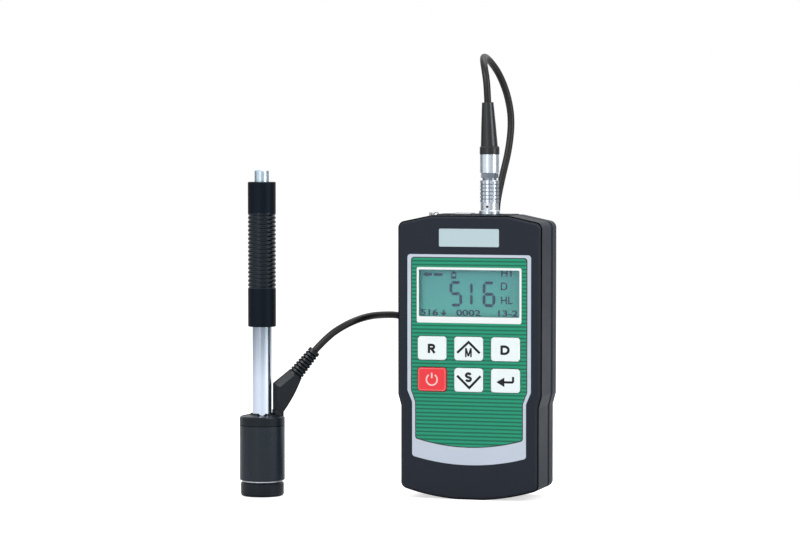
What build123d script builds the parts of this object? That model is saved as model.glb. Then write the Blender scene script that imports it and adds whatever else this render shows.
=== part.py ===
from build123d import *
import math
import os

os.makedirs("parts", exist_ok=True)

# Portable rebound hardness tester: a display unit and an impact device joined by a thin cable.
# Millimetres. X to the right, -Y towards the user, +Z up. Both units stand on z = 0.
# The origin is at the middle of the two units' common box, on the surface that they stand on.

# Display unit, measured from its own centre line; its front face is at -unit_depth / 2
unit_x, unit_y = 35.6, 9.6
unit_depth = 30.4
unit_height = 127.0
half_upper = 33.2
half_lower = 31.8
shoulder_top, shoulder_low = 46.8, 41.6
top_flat_half = 18.0
slope_end = 123.8
base_arc_radius = 100.0
foot_half = 6.0
front_y = -unit_depth / 2
rear_y = unit_depth / 2
seam_y = 4.5
wall = 2.0
case_corner, inner_corner, shoulder_radius = 3.2, 1.2, 3.0
rim_inset, rim_depth, rim_bevel = 0.5, 1.1, 0.8
ledge_radius, seam_bevel = 0.25, 0.3
rear_edge_radius = 3.0

# Printed film on the front, its window and its keys
film_thickness = 0.4
film_half_upper, film_half_lower = 28.5, 26.3
film_shoulder_top, film_shoulder_low = 48.6, 43.4
film_top, film_corner_low, film_bow, film_corner = 109.6, 19.2, 3.6, 1.4
window_half, window_low, window_top, window_corner = 24.2, 79.0, 103.9, 0.8
glass_thickness = 1.2
view_half, view_low, view_top = 23.2, 81.8, 102.8
key_width, key_height, key_corner = 13.2, 10.6, 1.4
key_columns = (-16.95, 0.0, 16.95)
key_rows = (67.7, 53.7)
key_gap = 0.25
key_proud = 0.7
key_flange = 1.0
key_travel = 0.5
key_crown = 0.4
label_width, label_height, label_z, label_thickness = 27.6, 8.0, 117.1, 0.2
lcd_y, lcd_thickness = front_y + wall + 0.1, 3.4
board_y, board_thickness = front_y + 7.4, 1.6
dome_height = 0.9

# Top end with its sockets
panel_half_x, panel_half_y, panel_top, panel_gap = 17.4, 8.0, 127.4, 0.1
panel_low, panel_flange = unit_height - wall, 1.4
plug_x, socket_thread, socket_bore, socket_foot = 5.4, 3.5, 2.75, 113.0
data_x, data_half_x, data_half_y, data_foot = -6.4, 4.5, 2.5, 117.0
eye_x = -19.5

# Battery bay and its lid
bay_half_x, bay_low, bay_top, bay_front = 15.4, 18.7, 73.8, -2.2
bay_wall = 1.2
lid_half_x, lid_low, lid_top, lid_thickness = 17.0, 17.0, 75.5, 1.8
lid_gap = 0.2
cell_radius, cell_length, cell_x, cell_y = 7.1, 49.2, 7.35, 5.3
nub_radius, nub_length = 2.75, 1.2
contact_thickness, contact_half_y = 0.5, 5.0
spring_height, spring_base, spring_tip, spring_wire = 3.7, 4.6, 2.6, 0.7

# Case screws, bosses in unit coordinates
screw_places = ((-26.5, 13.5), (26.5, 13.5), (-26.5, 112.0), (26.5, 112.0))
boss_radius, screw_hole_radius, screw_head_radius = 3.4, 1.3, 2.7
screw_length, screw_head_height = 15.0, 2.0

# Impact device, heights above the test surface
probe_x, probe_y = -58.6, -14.6
ring_radius, ring_height = 9.75, 6.3
neck_radius, neck_top, spigot_radius = 9.1, 7.1, 7.0
housing_radius, housing_bore, housing_floor, housing_top = 10.2, 8.2, 8.8, 31.8
ring_bore, ring_seat = 4.4, 1.8
cap_top = 36.1
cap_spigot, cap_rise, cap_collar, collar_height, slot_width = 29.4, 0.8, 5.8, 1.2, 4.5
stem_x, stem_width, stem_top, pin_radius, pin_length = 7.1, 5.3, 39.0, 1.5, 3.0
guide_radius, guide_bore, guide_top = 4.3, 2.8, 104.0
upper_bore, spring_stop = 2.3, 62.0
lip_bore, mouth_low = 1.9, 1.9
collar_radius, collar_low, collar_top = 5.15, 81.4, 83.6
sleeve_radius, sleeve_bore, sleeve_low, sleeve_top = 6.3, 5.3, 76.5, 137.3
bush_bore, bush_top = 4.38, 81.2
rib_low, rib_top, rib_count, rib_depth = 93.8, 127.8, 18, 0.42
device_top = 141.7
button_radius, button_top = 3.25, 147.0
button_travel = 3.0
body_radius, body_top, nose_low = 2.7, 32.0, 2.4
waist, magnet_low, magnet_top, tip_shank, tip_seat = 1.5, 14.0, 19.0, 1.1, 3.2
knob_radius, knob_low, knob_top, stem_radius = 1.2, 42.4, 44.0, 0.7
ball_radius, ball_z = 1.5, 1.8
catch_radius, catch_bore, catch_low = 2.15, 1.4, 60.5
spigot_low, pocket_low, cap_shoulder, button_foot = 128.5, 129.7, 139.3, 137.5
rod_radius, rod_low = 1.1, 84.0

# Cable with its plugs
cable_diameter = 3.2
plug_levels = {"flange": 129.1, "barrel": 132.3, "sleeve_low": 132.5, "sleeve_top": 142.4,
               "neck_low": 143.5, "neck_top": 145.6, "rear_top": 154.1}
boot_length, boot_tilt = 23.3, 2.2
cable_direction = 18.0
coil_x, coil_y, coil_mean_radius = 24.0, 50.0, 18.5
coil_width, coil_low, coil_height = 9.6, 0.5, 9.8

bottom = (Align.CENTER, Align.CENTER, Align.MIN)
unit_place = Pos(unit_x, unit_y, 0)
probe_place = Pos(probe_x, probe_y, 0)


def write(name, place, piece):
    # a list is a group of separate solids in one node
    if isinstance(piece, list):
        shape = Compound(children=[place * solid for solid in piece])
    else:
        shape = place * piece
    export_step(shape, f"parts/{name}.step")


def turned(profile):
    # solid of revolution about Z from (radius, height) points
    return revolve(Plane.XZ * make_face(Polyline(*profile, close=True)), axis=Axis.Z)


def tube(outer, inner, low, top):
    return turned([(inner, low), (outer, low), (outer, top), (inner, top)])


def rod(radius, low, top, x=0.0, y=0.0):
    return Pos(x, y, low) * Cylinder(radius, top - low, align=bottom)


def block(x0, x1, y0, y1, z0, z1):
    return Pos((x0 + x1) / 2, (y0 + y1) / 2, (z0 + z1) / 2) * Box(x1 - x0, y1 - y0, z1 - z0)


def slab(face, y0, y1):
    # front-view face given in (x, z), thickened from y0 back to y1
    return Plane(origin=(0, y1, 0), x_dir=(1, 0, 0), z_dir=(0, -1, 0)) * extrude(face, amount=y1 - y0)


def pin_y(radius, y0, y1, x, z):
    # round pin along Y
    return slab(Pos(x, z) * Circle(radius), y0, y1)


def coil_spring(mean_radius, wire, low, top, turns, end_radius=None):
    # open spring of square-looking wire; end_radius gives a conical one
    pitch = (top - low - wire) / turns
    cone = 0.0 if end_radius is None else math.degrees(math.atan2(end_radius - mean_radius, pitch * turns))
    path = Helix(pitch=pitch, height=pitch * turns, radius=mean_radius, cone_angle=cone)
    section = Plane(origin=path @ 0, z_dir=path % 0) * RegularPolygon(wire / 2, 4)
    return Pos(0, 0, low + wire / 2) * sweep(section, path=path, is_frenet=True)


# Outlines in front view
def front_outline(upper, lower, top, low, slope, flat, foot, radius, corner):
    # shield-like outline: sloped top corners, shoulders and a bowed lower edge
    centre = low + math.sqrt(radius**2 - foot**2)
    side_low = centre - math.sqrt(radius**2 - lower**2)
    middle = (foot + lower) / 2
    middle_z = centre - math.sqrt(radius**2 - middle**2)
    edges = [Line((-foot, low), (foot, low)),
             ThreePointArc((foot, low), (middle, middle_z), (lower, side_low)),
             Line((lower, side_low), (lower, shoulder_low)),
             Line((lower, shoulder_low), (upper, shoulder_top)),
             Line((upper, shoulder_top), (upper, slope)),
             Line((upper, slope), (flat, top)),
             Line((flat, top), (-flat, top)),
             Line((-flat, top), (-upper, slope)),
             Line((-upper, slope), (-upper, shoulder_top)),
             Line((-upper, shoulder_top), (-lower, shoulder_low)),
             Line((-lower, shoulder_low), (-lower, side_low)),
             ThreePointArc((-lower, side_low), (-middle, middle_z), (-foot, low))]
    face = make_face(edges)
    sharp = [v for v in face.vertices() if abs(v.Y - slope) < 0.01 or abs(v.Y - side_low) < 0.01]
    face = fillet(sharp, radius=corner)
    soft = [v for v in face.vertices() if abs(v.Y - shoulder_low) < 0.01 or abs(v.Y - shoulder_top) < 0.01]
    return fillet(soft, radius=shoulder_radius)


def case_outline(inset, corner):
    return front_outline(half_upper - inset, half_lower - inset, unit_height - inset, inset,
                         slope_end - inset, top_flat_half, foot_half, base_arc_radius - inset, corner)


def film_outline():
    # printed film: flat top, shoulders and a bowed lower edge that follows the case
    edges = [ThreePointArc((-film_half_lower, film_corner_low), (0, film_corner_low - film_bow),
                           (film_half_lower, film_corner_low)),
             Polyline((film_half_lower, film_corner_low), (film_half_lower, film_shoulder_low),
                      (film_half_upper, film_shoulder_top), (film_half_upper, film_top),
                      (-film_half_upper, film_top), (-film_half_upper, film_shoulder_top),
                      (-film_half_lower, film_shoulder_low), (-film_half_lower, film_corner_low))]
    face = make_face(edges)
    ends = [v for v in face.vertices() if v.Y > film_top - 0.01 or v.Y < film_corner_low + 0.01]
    return fillet(ends, radius=film_corner)


def key_outline(column, row, grow=0.0):
    return Pos(column, row) * RectangleRounded(key_width + 2 * grow, key_height + 2 * grow, key_corner + grow)


key_places = {"key_return": (0, 0), "key_menu": (1, 0), "key_device": (2, 0),
              "key_power": (0, 1), "key_store": (1, 1), "key_enter": (2, 1)}


def window_outline(grow=0.0):
    width, height = 2 * window_half + 2 * grow, window_top - window_low + 2 * grow
    return Pos(0, (window_low + window_top) / 2) * RectangleRounded(width, height, window_corner)


# Display unit
def make_front_case():
    # the face stands forward of a narrow ledge that runs right round it
    ledge_y = front_y + rim_depth
    shell = slab(case_outline(0.0, case_corner), ledge_y, seam_y)
    shell = fillet(shell.faces().sort_by(Axis.Y)[0].edges(), radius=ledge_radius)
    shell = chamfer(shell.faces().sort_by(Axis.Y)[-1].edges(), length=seam_bevel)
    plateau = slab(case_outline(rim_inset, case_corner - rim_inset), front_y, ledge_y)
    shell += chamfer(plateau.faces().sort_by(Axis.Y)[0].edges(), length=rim_bevel)
    shell -= slab(case_outline(wall, inner_corner), front_y + wall, seam_y)
    shell -= slab(film_outline(), front_y, front_y + film_thickness)
    shell -= slab(window_outline(), front_y, front_y + glass_thickness)
    shell -= slab(Pos(0, (view_low + view_top) / 2) * Rectangle(2 * view_half, view_top - view_low),
                  front_y, front_y + wall)
    for column, row in key_places.values():
        shell -= slab(key_outline(key_columns[column], key_rows[row], key_gap), front_y, front_y + wall)
    shell -= block(-panel_half_x, panel_half_x, -panel_half_y, seam_y, panel_low - 1, unit_height + 1)
    for x, z in screw_places:
        shell += pin_y(boss_radius, front_y + wall, seam_y, x, z)
        shell -= pin_y(screw_hole_radius, seam_y - 8.0, seam_y, x, z)
    shell -= lanyard_eye
    return shell


def make_rear_case():
    shell = slab(case_outline(0.0, case_corner), seam_y, rear_y)
    shell = fillet(shell.faces().sort_by(Axis.Y)[-1].edges(), radius=rear_edge_radius)
    shell = chamfer(shell.faces().sort_by(Axis.Y)[0].edges(), length=seam_bevel)
    shell -= slab(case_outline(wall, inner_corner), seam_y, rear_y - wall)
    outside = bay_half_x + bay_wall
    shell += block(-outside, outside, bay_front - bay_wall, rear_y - wall,
                   bay_low - bay_wall, bay_top + bay_wall)
    shell -= block(-bay_half_x, bay_half_x, bay_front, rear_y, bay_low, bay_top)
    shell -= block(-lid_half_x, lid_half_x, rear_y - lid_thickness, rear_y, lid_low, lid_top)
    shell -= block(-panel_half_x, panel_half_x, seam_y, panel_half_y, panel_low - 1, unit_height + 1)
    for x, z in screw_places:
        shell += pin_y(boss_radius, seam_y, rear_y - wall, x, z)
        shell -= pin_y(screw_hole_radius, seam_y, rear_y, x, z)
        shell -= pin_y(screw_head_radius, rear_y - screw_head_height - 0.4, rear_y, x, z)
    return shell


def make_connector_panel():
    half_x, half_y = panel_half_x - panel_gap, panel_half_y - panel_gap
    panel = block(-half_x, half_x, -half_y, half_y, panel_low, panel_top)
    panel = fillet(panel.edges().filter_by(Axis.Z), radius=inner_corner)
    panel += block(-panel_half_x - 0.5, panel_half_x + 0.5, -panel_half_y - 1.0, panel_half_y + 1.0,
                   panel_low - panel_flange, panel_low)
    panel -= rod(socket_thread, panel_low - panel_flange, panel_top, plug_x)
    panel -= block(data_x - data_half_x - panel_gap, data_x + data_half_x + panel_gap,
                   -data_half_y - panel_gap, data_half_y + panel_gap, panel_low - panel_flange, panel_top)
    return panel


def make_film():
    film = slab(film_outline(), front_y, front_y + film_thickness)
    film -= slab(window_outline(), front_y, 0)
    for column, row in key_places.values():
        film -= slab(key_outline(key_columns[column], key_rows[row], key_gap), front_y, 0)
    return film


def make_window():
    return slab(window_outline(-0.05), front_y, front_y + glass_thickness)


def make_key(column, row):
    # crowned cap with a wider foot that stays behind the case wall
    x, z = key_columns[column], key_rows[row]
    cap = slab(key_outline(x, z), front_y - key_proud, front_y + wall + 0.1)
    cap = fillet(cap.faces().sort_by(Axis.Y)[0].edges(), radius=key_crown)
    flange_y = front_y + wall + 0.1
    foot = slab(key_outline(x, z, 0.6), flange_y, flange_y + key_flange)
    post = pin_y(1.6, flange_y + key_flange, board_y - dome_height - key_travel - 0.1, x, z)
    return cap + foot + post


def make_dome_switches():
    # one low metal dome on the board behind each key
    domes = []
    for column, row in key_places.values():
        dome = turned([(0, 0), (3.0, 0), (3.0, 0.3), (1.6, dome_height), (0, dome_height)])
        place = Plane(origin=(key_columns[column], board_y, key_rows[row]), z_dir=(0, -1, 0))
        domes.append(place * dome)
    return domes


def make_lcd():
    border_side, border_low, border_top = 2.8, 3.2, 2.4
    return block(-view_half - border_side, view_half + border_side, lcd_y, lcd_y + lcd_thickness,
                 view_low - border_low, view_top + border_top)


def make_board():
    # board with the processor on its back
    half_width, low, top = 28.0, 17.5, 108.5
    chip_half, chip_z, chip_height = 8.0, 90.0, 1.4
    back_y = board_y + board_thickness
    board = block(-half_width, half_width, board_y, back_y, low, top)
    chip = block(-chip_half, chip_half, back_y, back_y + chip_height, chip_z - chip_half, chip_z + chip_half)
    return board + chip


def make_battery_cover():
    # lid with a grooved thumb rest, two hooks at its foot and a latch at its head
    half, low, top = lid_half_x - lid_gap, lid_low + lid_gap, lid_top - lid_gap
    inside_y = rear_y - lid_thickness + 0.1
    groove_half, groove_pitch, groove_width, groove_depth = 7.0, 2.2, 1.0, 0.5
    hook_in, hook_out, latch_half, hook_reach = 12.4, 15.0, 3.4, 2.2
    lid = fillet(block(-half, half, inside_y, rear_y, low, top).edges().filter_by(Axis.Y), radius=1.5)
    for groove in range(4):
        level = top - 5.5 - groove_pitch * groove
        lid -= block(-groove_half, groove_half, rear_y - groove_depth, rear_y, level, level + groove_width)
    hook = block(hook_in, hook_out, inside_y - hook_reach, inside_y, low + 2.4, low + 4.0)
    lid += hook + mirror(hook, about=Plane.YZ)
    return lid + block(-latch_half, latch_half, inside_y - hook_reach, inside_y, bay_top - 1.7, bay_top - 0.7)


def make_cell(x, nub_up):
    body_low = bay_low + contact_thickness + (spring_height if nub_up else nub_length)
    body = chamfer(rod(cell_radius, body_low, body_low + cell_length).edges(), length=0.6)
    nub_low = body_low + cell_length if nub_up else body_low - nub_length
    return Pos(x, cell_y, 0) * (body + rod(nub_radius, nub_low, nub_low + nub_length))


def make_battery_springs():
    # conical wire springs, each wide at its contact plate
    low, high, turns = bay_low + contact_thickness, bay_top - contact_thickness, 2.5
    left = coil_spring(spring_base, spring_wire, low, low + spring_height, turns, spring_tip)
    right = coil_spring(spring_tip, spring_wire, high - spring_height, high, turns, spring_base)
    return [Pos(-cell_x, cell_y, 0) * left, Pos(cell_x, cell_y, 0) * right]


def make_battery_contacts():
    # one plate across both cells at the bottom, one for each cell at the top
    front, back, joined_half, single_half = cell_y - contact_half_y, cell_y + contact_half_y, 13.6, 5.4
    plates = [block(-joined_half, joined_half, front, back, bay_low, bay_low + contact_thickness)]
    for x in (-cell_x, cell_x):
        left, right = x - single_half, x + single_half
        plates.append(block(left, right, front, back, bay_top - contact_thickness, bay_top))
    return plates


def make_case_screws():
    screws = []
    for x, z in screw_places:
        head_y = rear_y - 0.4 - screw_head_height
        screw = pin_y(screw_head_radius - 0.1, head_y, head_y + screw_head_height, x, z)
        screw += pin_y(screw_hole_radius, head_y - screw_length, head_y, x, z)
        screws.append(screw)
    return screws


def make_probe_socket():
    flange, barrel = plug_levels["flange"], plug_levels["barrel"]
    flange_radius, barrel_radius, mouth, floor, dimple = 4.75, 4.05, 3.4, 117.0, 0.6
    socket = turned([(0, socket_foot), (socket_thread, socket_foot), (socket_thread, panel_top),
                     (flange_radius, panel_top), (flange_radius, flange - 0.3), (flange_radius - 0.3, flange),
                     (barrel_radius, flange), (barrel_radius, barrel), (mouth, barrel), (mouth, flange),
                     (socket_bore, flange), (socket_bore, floor), (0, floor)])
    # index dimple that shows which way round the plug goes
    socket -= Pos(0, -barrel_radius, (flange + barrel) / 2) * Rot(90, 0, 0) * Cylinder(dimple, dimple)
    return Pos(plug_x, 0, 0) * socket


def make_socket_nut():
    nut_radius, nut_height = 5.6, 2.2
    nut = extrude(RegularPolygon(nut_radius, 6) - Circle(socket_thread), amount=nut_height)
    return Pos(plug_x, 0, panel_low - panel_flange - nut_height) * nut


def make_data_socket():
    # small port: metal frame with a tongue inside
    frame, floor, top, tongue_half_x, tongue_half_y = 0.9, data_foot + 2.0, panel_top + 0.5, 2.9, 0.35
    inner_x, inner_y = data_half_x - frame, data_half_y - frame
    port = block(-data_half_x, data_half_x, -data_half_y, data_half_y, data_foot, top)
    port = fillet(port.edges().filter_by(Axis.Z), radius=0.8)
    port -= block(-inner_x, inner_x, -inner_y, inner_y, floor, top)
    port += block(-tongue_half_x, tongue_half_x, -tongue_half_y, tongue_half_y, floor, panel_top - 1.2)
    return Pos(data_x, 0, 0) * port


def make_lanyard_eye():
    # small wire ring and a peg beside it, both on a foot moulded into the top end
    loop_radius, wire_radius, arch_z = 1.2, 0.4, 126.9
    peg_x, peg_radius, peg_top = -2.5, 0.75, 127.9
    foot_low, foot_height, foot_half_y = panel_low - 0.6, 0.8, 0.75
    section = Pos(loop_radius, 0, 0) * (Plane.XY * Circle(wire_radius))
    arch = revolve(section, axis=Axis.Y, revolution_arc=-180)
    eye = Pos(0, 0, arch_z) * arch
    for side in (-loop_radius, loop_radius):
        eye += rod(wire_radius, foot_low, arch_z, side)
    eye += rod(peg_radius, foot_low, peg_top, peg_x)
    eye += block(peg_x - peg_radius, loop_radius + wire_radius, -foot_half_y, foot_half_y,
                 foot_low, foot_low + foot_height)
    return Pos(eye_x, 0, 0) * eye


lanyard_eye = make_lanyard_eye()


# Impact device, built about its own axis
def make_support_ring():
    # rounded foot with a flat sole; the housing's spigot screws into it
    return turned([(ring_bore, 0), (8.6, 0), (9.4, 0.35), (ring_radius, 1.2),
                   (ring_radius, ring_height - 0.5), (ring_radius - 0.5, ring_height),
                   (spigot_radius, ring_height), (spigot_radius, ring_seat), (ring_bore, ring_seat)])


def make_coil_housing():
    return turned([(guide_radius, ring_seat), (spigot_radius, ring_seat), (spigot_radius, ring_height),
                   (neck_radius, ring_height), (neck_radius, neck_top), (housing_radius - 0.4, neck_top),
                   (housing_radius, neck_top + 0.4), (housing_radius, housing_top),
                   (housing_bore, housing_top), (housing_bore, housing_floor), (guide_radius, housing_floor)])


def make_coil_cap():
    # slightly conical cap with a slotted collar round the tube; the cable plug sits in one of the slots
    cap = turned([(guide_radius, cap_spigot), (housing_bore, cap_spigot), (housing_bore, housing_top),
                  (housing_radius - 0.3, housing_top), (housing_radius, housing_top + 0.3),
                  (housing_radius, cap_top - 0.6), (housing_radius - 0.6, cap_top),
                  (cap_collar, cap_top + cap_rise), (cap_collar, cap_top + collar_height),
                  (guide_radius, cap_top + collar_height)])
    slot = block(-housing_radius, housing_radius, -slot_width / 2, slot_width / 2, cap_top,
                 cap_top + collar_height)
    seat = block(0, housing_radius, -stem_width / 2, stem_width / 2, cap_top, cap_top + collar_height)
    seat += rod(pin_radius + 0.1, cap_top - pin_length - 0.2, cap_top, stem_x)
    return cap - Rot(0, 0, cable_direction) * (slot + Rot(0, 0, 90) * slot + seat)


def make_coil_winding():
    # bobbin with its flanges and winding as one sealed piece
    rim, winding, top, cheek = housing_bore - 0.1, 7.2, 22.0, 1.0
    return turned([(guide_radius, housing_floor), (rim, housing_floor), (rim, housing_floor + cheek),
                   (winding, housing_floor + cheek), (winding, top - cheek), (rim, top - cheek), (rim, top),
                   (guide_radius, top)])


def make_guide_tube():
    # a lip in its mouth keeps the impact body in, and a step inside takes the impact spring
    return turned([(lip_bore, mouth_low), (guide_radius, mouth_low), (guide_radius, collar_low),
                   (collar_radius, collar_low), (collar_radius, collar_top), (guide_radius, collar_top),
                   (guide_radius, guide_top), (upper_bore, guide_top), (upper_bore, spring_stop),
                   (guide_bore, spring_stop), (guide_bore, mouth_low + 0.45), (lip_bore, mouth_low + 0.45)])


def make_impact_body():
    # tapered nose with the tip's seat, a waist that carries the magnet, and a knob on a stem for the catch
    nose = 2.2
    return turned([(0, tip_seat), (tip_shank, tip_seat), (tip_shank, nose_low), (nose, nose_low),
                   (body_radius, nose_low + 2.0), (body_radius, magnet_low), (waist, magnet_low),
                   (waist, magnet_top), (body_radius, magnet_top), (body_radius, body_top - 0.5),
                   (body_radius - 0.5, body_top), (stem_radius, body_top), (stem_radius, knob_low),
                   (knob_radius, knob_low + 0.4), (knob_radius, knob_top - 0.5),
                   (knob_radius - 0.5, knob_top), (0, knob_top)])


def make_magnet():
    return tube(body_radius, waist, magnet_low, magnet_top)


def make_test_tip():
    ball = Pos(0, 0, ball_z) * Sphere(ball_radius) - rod(body_radius, nose_low, tip_seat + 1)
    return ball + rod(tip_shank, nose_low, tip_seat)


def make_loading_tube():
    # ribbed grip: round ribs with a narrow V between each two
    pitch = (rib_top - rib_low) / rib_count
    outside = [(sleeve_radius - 0.3, sleeve_low), (sleeve_radius, sleeve_low + 0.3)]
    for rib in range(rib_count):
        foot = rib_low + rib * pitch
        outside += [(sleeve_radius, foot), (sleeve_radius - rib_depth, foot + 0.32 * pitch),
                    (sleeve_radius, foot + 0.64 * pitch)]
    outside += [(sleeve_radius, sleeve_top)]
    inside = [(sleeve_bore, sleeve_top), (sleeve_bore, bush_top),
              (bush_bore, bush_top), (bush_bore, sleeve_low)]
    return turned(outside + inside)


def make_tube_cap():
    pocket, lip, rod_hole = 3.95, 3.35, rod_radius + 0.1
    return turned([(rod_hole, spigot_low), (sleeve_bore, spigot_low), (sleeve_bore, sleeve_top),
                   (sleeve_radius, sleeve_top), (sleeve_radius, device_top - 0.3),
                   (sleeve_radius - 0.3, device_top), (lip, device_top), (lip, cap_shoulder),
                   (pocket, cap_shoulder), (pocket, pocket_low), (rod_hole, pocket_low)])


def make_release_button():
    rim, rim_top = 3.8, cap_shoulder - 0.1
    return turned([(0, button_foot), (rim, button_foot), (rim, rim_top), (button_radius, rim_top),
                   (button_radius, button_top - 0.4), (button_radius - 0.4, button_top), (0, button_top)])


def make_catch():
    # collet on the end of a slim tube: four slots let its lips spread over the knob
    hold_bore, rod_bore, rod_seat, slit, slit_length = knob_radius + 0.1, 1.25, 82.0, 0.5, 12.0
    body = turned([(hold_bore, catch_low), (catch_radius - 0.3, catch_low), (catch_radius, catch_low + 0.3),
                   (catch_radius, spigot_low), (rod_bore, spigot_low), (rod_bore, rod_seat),
                   (catch_bore, rod_seat), (catch_bore, catch_low + 1.4), (hold_bore, catch_low + 1.0)])
    cut = block(-catch_radius, catch_radius, -slit / 2, slit / 2, catch_low, catch_low + slit_length)
    return body - cut - Rot(0, 0, 90) * cut


probe_pieces = {
    "support_ring": make_support_ring(),
    "coil_housing": make_coil_housing(),
    "coil_cap": make_coil_cap(),
    "coil_winding": make_coil_winding(),
    "guide_tube": make_guide_tube(),
    "impact_body": make_impact_body(),
    "magnet": make_magnet(),
    "test_tip": make_test_tip(),
    "loading_tube": make_loading_tube(),
    "tube_cap": make_tube_cap(),
    "release_button": make_release_button(),
    "catch_rod": rod(rod_radius, rod_low, button_foot),
    "catch": make_catch(),
    "button_spring": coil_spring(2.7, 0.5, pocket_low, button_foot, 4),
    "impact_spring": coil_spring(2.5, 0.4, body_top, spring_stop, 7),
    "loading_spring": coil_spring(4.8, 0.7, collar_top, spigot_low, 8),
}

unit_pieces = {
    "front_case": make_front_case(),
    "rear_case": make_rear_case(),
    "connector_panel": make_connector_panel(),
    "keypad_overlay": make_film(),
    "name_plate": slab(Pos(0, label_z) * RectangleRounded(label_width, label_height, 0.6),
                       front_y - label_thickness, front_y),
    "display_window": make_window(),
    "lcd_module": make_lcd(),
    "main_board": make_board(),
    "dome_switches": make_dome_switches(),
    "battery_cover": make_battery_cover(),
    "battery_left": make_cell(-cell_x, True),
    "battery_right": make_cell(cell_x, False),
    "battery_springs": make_battery_springs(),
    "battery_contacts": make_battery_contacts(),
    "case_screws": make_case_screws(),
    "probe_socket": make_probe_socket(),
    "socket_nut": make_socket_nut(),
    "data_socket": make_data_socket(),
    "lanyard_eye": lanyard_eye,
}
for name, (column, row) in key_places.items():
    unit_pieces[name] = make_key(column, row)


# Plug at the display unit, about its own axis
def make_connector_body():
    level = plug_levels
    barrel, neck_low, neck_high = level["barrel"], level["neck_low"], level["neck_top"]
    tip_low, tip_radius, core_radius, flats_radius, rear_radius = 120.0, socket_bore - 0.05, 3.2, 4.1, 4.3
    core = turned([(0, tip_low), (tip_radius, tip_low), (tip_radius, barrel - 0.5),
                   (core_radius, barrel - 0.2), (core_radius, neck_low), (0, neck_low)])
    flats = extrude(RegularPolygon(flats_radius, 8), amount=neck_high - neck_low)
    rear = turned([(0, neck_high), (rear_radius - 0.3, neck_high), (rear_radius, neck_high + 0.3),
                   (rear_radius, level["rear_top"]), (0, level["rear_top"])])
    return core + Pos(0, 0, neck_low) * flats + rear


def make_connector_sleeve():
    # grip with square studs: ring grooves crossed by grooves along the axis
    low, top = plug_levels["sleeve_low"], plug_levels["sleeve_top"]
    rows, columns, depth, groove = 6, 14, 0.3, 0.5
    radius, bore = 4.25, 3.3
    pitch = (top - low) / rows
    outside = [(radius, low)]
    for row in range(1, rows):
        level = low + row * pitch
        outside += [(radius, level - groove / 2), (radius - depth, level - groove / 2),
                    (radius - depth, level + groove / 2), (radius, level + groove / 2)]
    outside += [(radius, top), (bore, top), (bore, low)]
    cutter = block(radius - depth, radius + 1, -groove / 2, groove / 2, low, top)
    return turned(outside) - [Rot(0, 0, 360 * column / columns) * cutter for column in range(columns)]


def make_boot():
    # soft tapered boot with a collar at its foot, leaning a little with the cable
    low = plug_levels["rear_top"]
    collar_top = low + 3.7
    collar = turned([(0, low), (4.45, low), (4.45, low + 3.1), (4.1, collar_top), (0, collar_top)])
    taper = turned([(0, 1.2), (3.9, 1.2), (3.8, 4.2), (3.3, 13), (2.6, boot_length), (0, boot_length)])
    return collar + Pos(0, 0, low) * Rot(0, -boot_tilt, 0) * taper


plug_place = Pos(unit_x + plug_x, unit_y, 0)
cable_pieces = {
    "connector_body": plug_place * make_connector_body(),
    "connector_sleeve": plug_place * make_connector_sleeve(),
    "cable_boot": plug_place * make_boot(),
}


# Angled plug on the impact device: (distance from the axis, height) in the vertical plane of the cable
relief_foot, relief_end = (14.7, 54.5), (23.8, 65.6)
relief_radius, relief_end_radius = 3.55, 2.75
relief_slope = math.degrees(math.atan2(relief_end[1] - relief_foot[1], relief_end[0] - relief_foot[0]))
relief_length = math.dist(relief_foot, relief_end)


def plug_plane(across, height, slope):
    # section plane at a point of the plug, its normal rising at the given slope
    angle = math.radians(slope)
    return Plane(origin=(across, 0, height), x_dir=(math.sin(angle), 0, -math.cos(angle)),
                 z_dir=(math.cos(angle), 0, math.sin(angle)))


def make_probe_plug():
    # round stem and pin under a body with long bevels on the side of the tube and a rounded belly
    stem = rod(stem_width / 2, cap_top, stem_top, stem_x)
    stem += rod(pin_radius, cap_top - pin_length, cap_top, stem_x)
    angle, half_thickness, edge, bevel_angle, belly_round = math.radians(relief_slope), 3.5, 0.7, 50.0, 1.4
    rise_x, rise_z = relief_radius * math.sin(angle), relief_radius * math.cos(angle)
    upper = (relief_foot[0] - rise_x, relief_foot[1] + rise_z)
    lower = (relief_foot[0] + rise_x, relief_foot[1] - rise_z)
    inner, outer, foot, shoulder, belly_middle = stem_x - 2.3, stem_x + 2.7, cap_top + 2.0, 50.9, (13.3, 43.6)
    outline = make_face([Line((inner, foot), (outer, foot)),
                         ThreePointArc((outer, foot), belly_middle, lower),
                         Polyline(lower, upper, (inner, shoulder), (inner, foot))])
    body = Plane.XZ * extrude(outline, amount=half_thickness, both=True)
    rims = [e for e in body.edges() if abs(e.center().Y) > half_thickness - 0.01]
    belly = [e for e in rims if e.center().X > outer and e.center().Z < shoulder]
    body = fillet(belly, radius=belly_round)
    # the bevels run past the body at its foot and at the strain relief
    reach, far = 2.0, 40.0
    beyond = (upper[0] + reach * (upper[0] - inner), upper[1] + reach * (upper[1] - shoulder))
    roof_face = make_face(Polyline((inner, 0), (far, 0), (far, beyond[1]), beyond, (inner, shoulder),
                                   close=True))
    roof = extrude(roof_face, amount=edge)
    roof += Pos(0, 0, edge) * extrude(roof_face, amount=half_thickness - edge, taper=bevel_angle)
    half_body = body & (Plane.XZ * roof)
    return stem + half_body + mirror(half_body, about=Plane.XZ)


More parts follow.
